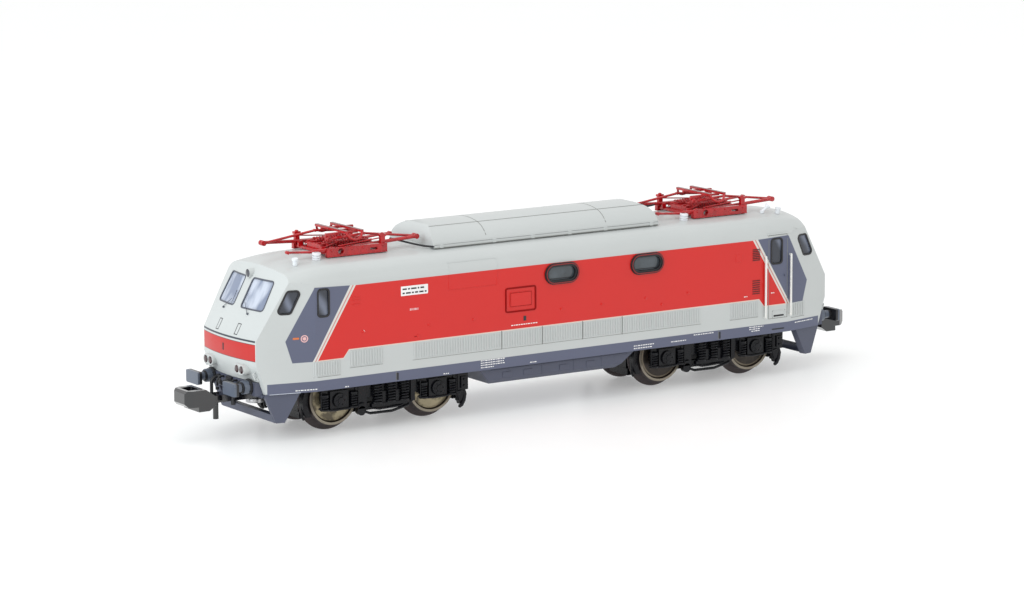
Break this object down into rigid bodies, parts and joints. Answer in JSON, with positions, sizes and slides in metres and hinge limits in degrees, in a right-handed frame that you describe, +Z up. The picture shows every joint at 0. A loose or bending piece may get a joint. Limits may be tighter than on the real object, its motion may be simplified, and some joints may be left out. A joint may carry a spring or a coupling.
{
  "type": "model electric locomotive",
  "caption": "Small-scale double-cab electric locomotive model with swivelling geared bogies, a central motor drive, swinging couplers and two folding roof pantographs.",
  "frame": {"origin": "middle of the locomotive, on the plane that the wheel flanges stand on", "axes": "+X along the locomotive towards the rear cab, +Y across to the far side, +Z up"},
  "size_m": [0.115, 0.0196, 0.028],
  "materials": {
    "body_paint": "satin light grey with printed red and slate areas",
    "glazing": "clear moulded",
    "window_rubber": "matt black with dark glazing",
    "lamp_lens": "clear, glossy",
    "handrail_metal": "bright",
    "horn_metal": "satin",
    "slate_plastic": "satin slate grey",
    "buffer_plastic": "satin dark grey",
    "black_plastic": "matt black",
    "chassis_metal": "die-cast, matt",
    "screw_steel": "plated",
    "motor_steel": "satin",
    "motor_plastic": "natural",
    "copper": "enamelled winding and steel shaft",
    "brass": "turned",
    "circuit_green": "satin",
    "interior_plastic": "matt",
    "bogie_plastic": "matt blue-black",
    "contact_bronze": "spring-hard strip",
    "gear_nylon": "natural",
    "wheel_metal": "blackened with bright tread",
    "axle_steel": "turned",
    "coupler_plastic": "matt black",
    "insulator_plastic": "white",
    "pantograph_red": "semi-gloss red"
  },
  "bodies": {
    "root": {"body_shell": "body_paint", "roof_hood": "body_paint", "windscreens": "glazing", "side_window_glazing": "glazing", "engine_room_windows": "window_rubber", "headlight_lenses": "lamp_lens", "handrails": "handrail_metal", "roof_horns": "horn_metal", "deflector_front": "slate_plastic", "deflector_rear": "slate_plastic", "buffers": "buffer_plastic", "beam_fittings": "black_plastic", "underframe_fairing": "slate_plastic", "chassis_left": "chassis_metal", "chassis_right": "chassis_metal", "chassis_screws": "screw_steel", "motor_can": "motor_steel", "motor_end_cap": "motor_plastic", "worm_bearings": "brass", "circuit_board": "circuit_green", "cab_interiors": "interior_plastic", "pantograph_insulators": "insulator_plastic", "pantograph_base_front": "pantograph_red", "pantograph_base_rear": "pantograph_red"},
    "drive": {"motor_armature": "copper", "flywheels": "brass", "worm_shaft_front": "brass", "worm_shaft_rear": "brass"},
    "bogie_front": {"bogie_frame_front": "bogie_plastic", "gear_cover_front": "bogie_plastic", "pickup_strips_front": "contact_bronze"},
    "worm_wheel_front": {"worm_wheel_front": "gear_nylon"},
    "bogie_rear": {"bogie_frame_rear": "bogie_plastic", "gear_cover_rear": "bogie_plastic", "pickup_strips_rear": "contact_bronze"},
    "worm_wheel_rear": {"worm_wheel_rear": "gear_nylon"},
    "idler_1": {"idler_gear_1": "gear_nylon"},
    "wheelset_1": {"wheels_1": "wheel_metal", "axle_1": "axle_steel"},
    "idler_2": {"idler_gear_2": "gear_nylon"},
    "wheelset_2": {"wheels_2": "wheel_metal", "axle_2": "axle_steel"},
    "idler_3": {"idler_gear_3": "gear_nylon"},
    "wheelset_3": {"wheels_3": "wheel_metal", "axle_3": "axle_steel"},
    "idler_4": {"idler_gear_4": "gear_nylon"},
    "wheelset_4": {"wheels_4": "wheel_metal", "axle_4": "axle_steel"},
    "coupler_front": {"coupler_front": "coupler_plastic"},
    "far_lower_arm_front": {"far_lower_arm_front": "pantograph_red"},
    "far_upper_arm_front": {"far_upper_arm_front": "pantograph_red"},
    "near_lower_arm_front": {"near_lower_arm_front": "pantograph_red"},
    "near_upper_arm_front": {"near_upper_arm_front": "pantograph_red"},
    "pan_head_front": {"pan_head_front": "pantograph_red"},
    "coupler_rear": {"coupler_rear": "coupler_plastic"},
    "far_lower_arm_rear": {"far_lower_arm_rear": "pantograph_red"},
    "far_upper_arm_rear": {"far_upper_arm_rear": "pantograph_red"},
    "near_lower_arm_rear": {"near_lower_arm_rear": "pantograph_red"},
    "near_upper_arm_rear": {"near_upper_arm_rear": "pantograph_red"},
    "pan_head_rear": {"pan_head_rear": "pantograph_red"}
  },
  "joints": [
    {"name": "drive_spin", "type": "hinge", "parent": "root", "child": "drive", "pos_m": [0, 0, 0.01175], "axis": [1, 0, 0], "continuous": true},
    {"name": "bogie_front_yaw", "type": "hinge", "parent": "root", "child": "bogie_front", "pos_m": [-0.02813, 0, 0.0098], "axis": [0, 0, 1], "range_deg": [-8, 8]},
    {"name": "worm_wheel_front_spin", "type": "hinge", "parent": "bogie_front", "child": "worm_wheel_front", "pos_m": [-0.02813, 0, 0.00825], "axis": [0, 1, 0], "continuous": true},
    {"name": "bogie_rear_yaw", "type": "hinge", "parent": "root", "child": "bogie_rear", "pos_m": [0.02813, 0, 0.0098], "axis": [0, 0, 1], "range_deg": [-8, 8]},
    {"name": "worm_wheel_rear_spin", "type": "hinge", "parent": "bogie_rear", "child": "worm_wheel_rear", "pos_m": [0.02813, 0, 0.00825], "axis": [0, 1, 0], "continuous": true},
    {"name": "idler_1_spin", "type": "hinge", "parent": "bogie_front", "child": "idler_1", "pos_m": [-0.03198, 0, 0.00659], "axis": [0, 1, 0], "continuous": true},
    {"name": "wheelset_1_spin", "type": "hinge", "parent": "bogie_front", "child": "wheelset_1", "pos_m": [-0.03625, 0, 0.00475], "axis": [0, 1, 0], "continuous": true},
    {"name": "idler_2_spin", "type": "hinge", "parent": "bogie_front", "child": "idler_2", "pos_m": [-0.02427, 0, 0.00659], "axis": [0, 1, 0], "continuous": true},
    {"name": "wheelset_2_spin", "type": "hinge", "parent": "bogie_front", "child": "wheelset_2", "pos_m": [-0.02, 0, 0.00475], "axis": [0, 1, 0], "continuous": true},
    {"name": "idler_3_spin", "type": "hinge", "parent": "bogie_rear", "child": "idler_3", "pos_m": [0.02427, 0, 0.00659], "axis": [0, 1, 0], "continuous": true},
    {"name": "wheelset_3_spin", "type": "hinge", "parent": "bogie_rear", "child": "wheelset_3", "pos_m": [0.02, 0, 0.00475], "axis": [0, 1, 0], "continuous": true},
    {"name": "idler_4_spin", "type": "hinge", "parent": "bogie_rear", "child": "idler_4", "pos_m": [0.03198, 0, 0.00659], "axis": [0, 1, 0], "continuous": true},
    {"name": "wheelset_4_spin", "type": "hinge", "parent": "bogie_rear", "child": "wheelset_4", "pos_m": [0.03625, 0, 0.00475], "axis": [0, 1, 0], "continuous": true},
    {"name": "coupler_front_swing", "type": "hinge", "parent": "root", "child": "coupler_front", "pos_m": [-0.0455, 0, 0.0056], "axis": [0, 0, 1], "range_deg": [-12, 12]},
    {"name": "pantograph_front_raise", "type": "hinge", "parent": "root", "child": "far_lower_arm_front", "pos_m": [-0.0281, 0.00365, 0.0254], "axis": [0, 1, 0], "range_deg": [0, 35]},
    {"name": "near_lower_front_fold", "type": "hinge", "parent": "root", "child": "near_lower_arm_front", "pos_m": [-0.0349, -0.00365, 0.0254], "axis": [0, -1, 0], "range_deg": [0, 35]},
    {"name": "far_upper_front_fold", "type": "hinge", "parent": "far_lower_arm_front", "child": "far_upper_arm_front", "pos_m": [-0.04205, 0.00305, 0.0261], "axis": [0, -1, 0], "range_deg": [0, 70]},
    {"name": "near_upper_front_fold", "type": "hinge", "parent": "near_lower_arm_front", "child": "near_upper_arm_front", "pos_m": [-0.02095, -0.00305, 0.0261], "axis": [0, 1, 0], "range_deg": [0, 70]},
    {"name": "pan_head_front_level", "type": "hinge", "parent": "far_upper_arm_front", "child": "pan_head_front", "pos_m": [-0.0281, 0.00305, 0.0268], "axis": [0, 1, 0], "range_deg": [0, 35]},
    {"name": "coupler_rear_swing", "type": "hinge", "parent": "root", "child": "coupler_rear", "pos_m": [0.0455, 0, 0.0056], "axis": [0, 0, 1], "range_deg": [-12, 12]},
    {"name": "pantograph_rear_raise", "type": "hinge", "parent": "root", "child": "far_lower_arm_rear", "pos_m": [0.0349, 0.00365, 0.0254], "axis": [0, 1, 0], "range_deg": [0, 35]},
    {"name": "near_lower_rear_fold", "type": "hinge", "parent": "root", "child": "near_lower_arm_rear", "pos_m": [0.0281, -0.00365, 0.0254], "axis": [0, -1, 0], "range_deg": [0, 35]},
    {"name": "far_upper_rear_fold", "type": "hinge", "parent": "far_lower_arm_rear", "child": "far_upper_arm_rear", "pos_m": [0.02095, 0.00305, 0.0261], "axis": [0, -1, 0], "range_deg": [0, 70]},
    {"name": "near_upper_rear_fold", "type": "hinge", "parent": "near_lower_arm_rear", "child": "near_upper_arm_rear", "pos_m": [0.04205, -0.00305, 0.0261], "axis": [0, 1, 0], "range_deg": [0, 70]},
    {"name": "pan_head_rear_level", "type": "hinge", "parent": "far_upper_arm_rear", "child": "pan_head_rear", "pos_m": [0.0349, 0.00305, 0.0268], "axis": [0, 1, 0], "range_deg": [0, 35]}
  ],
  "couplings": [
    {"joint": "worm_wheel_front_spin", "follows": "drive_spin", "ratio": -0.076923},
    {"joint": "worm_wheel_rear_spin", "follows": "drive_spin", "ratio": -0.076923},
    {"joint": "idler_1_spin", "follows": "drive_spin", "ratio": 0.066667},
    {"joint": "wheelset_1_spin", "follows": "drive_spin", "ratio": -0.0625},
    {"joint": "idler_2_spin", "follows": "drive_spin", "ratio": 0.066667},
    {"joint": "wheelset_2_spin", "follows": "drive_spin", "ratio": -0.0625},
    {"joint": "idler_3_spin", "follows": "drive_spin", "ratio": 0.066667},
    {"joint": "wheelset_3_spin", "follows": "drive_spin", "ratio": -0.0625},
    {"joint": "idler_4_spin", "follows": "drive_spin", "ratio": 0.066667},
    {"joint": "wheelset_4_spin", "follows": "drive_spin", "ratio": -0.0625},
    {"joint": "near_lower_front_fold", "follows": "pantograph_front_raise", "ratio": 1},
    {"joint": "far_upper_front_fold", "follows": "pantograph_front_raise", "ratio": 2},
    {"joint": "near_upper_front_fold", "follows": "pantograph_front_raise", "ratio": 2},
    {"joint": "pan_head_front_level", "follows": "pantograph_front_raise", "ratio": 1},
    {"joint": "near_lower_rear_fold", "follows": "pantograph_rear_raise", "ratio": 1},
    {"joint": "far_upper_rear_fold", "follows": "pantograph_rear_raise", "ratio": 2},
    {"joint": "near_upper_rear_fold", "follows": "pantograph_rear_raise", "ratio": 2},
    {"joint": "pan_head_rear_level", "follows": "pantograph_rear_raise", "ratio": 1}
  ]
}
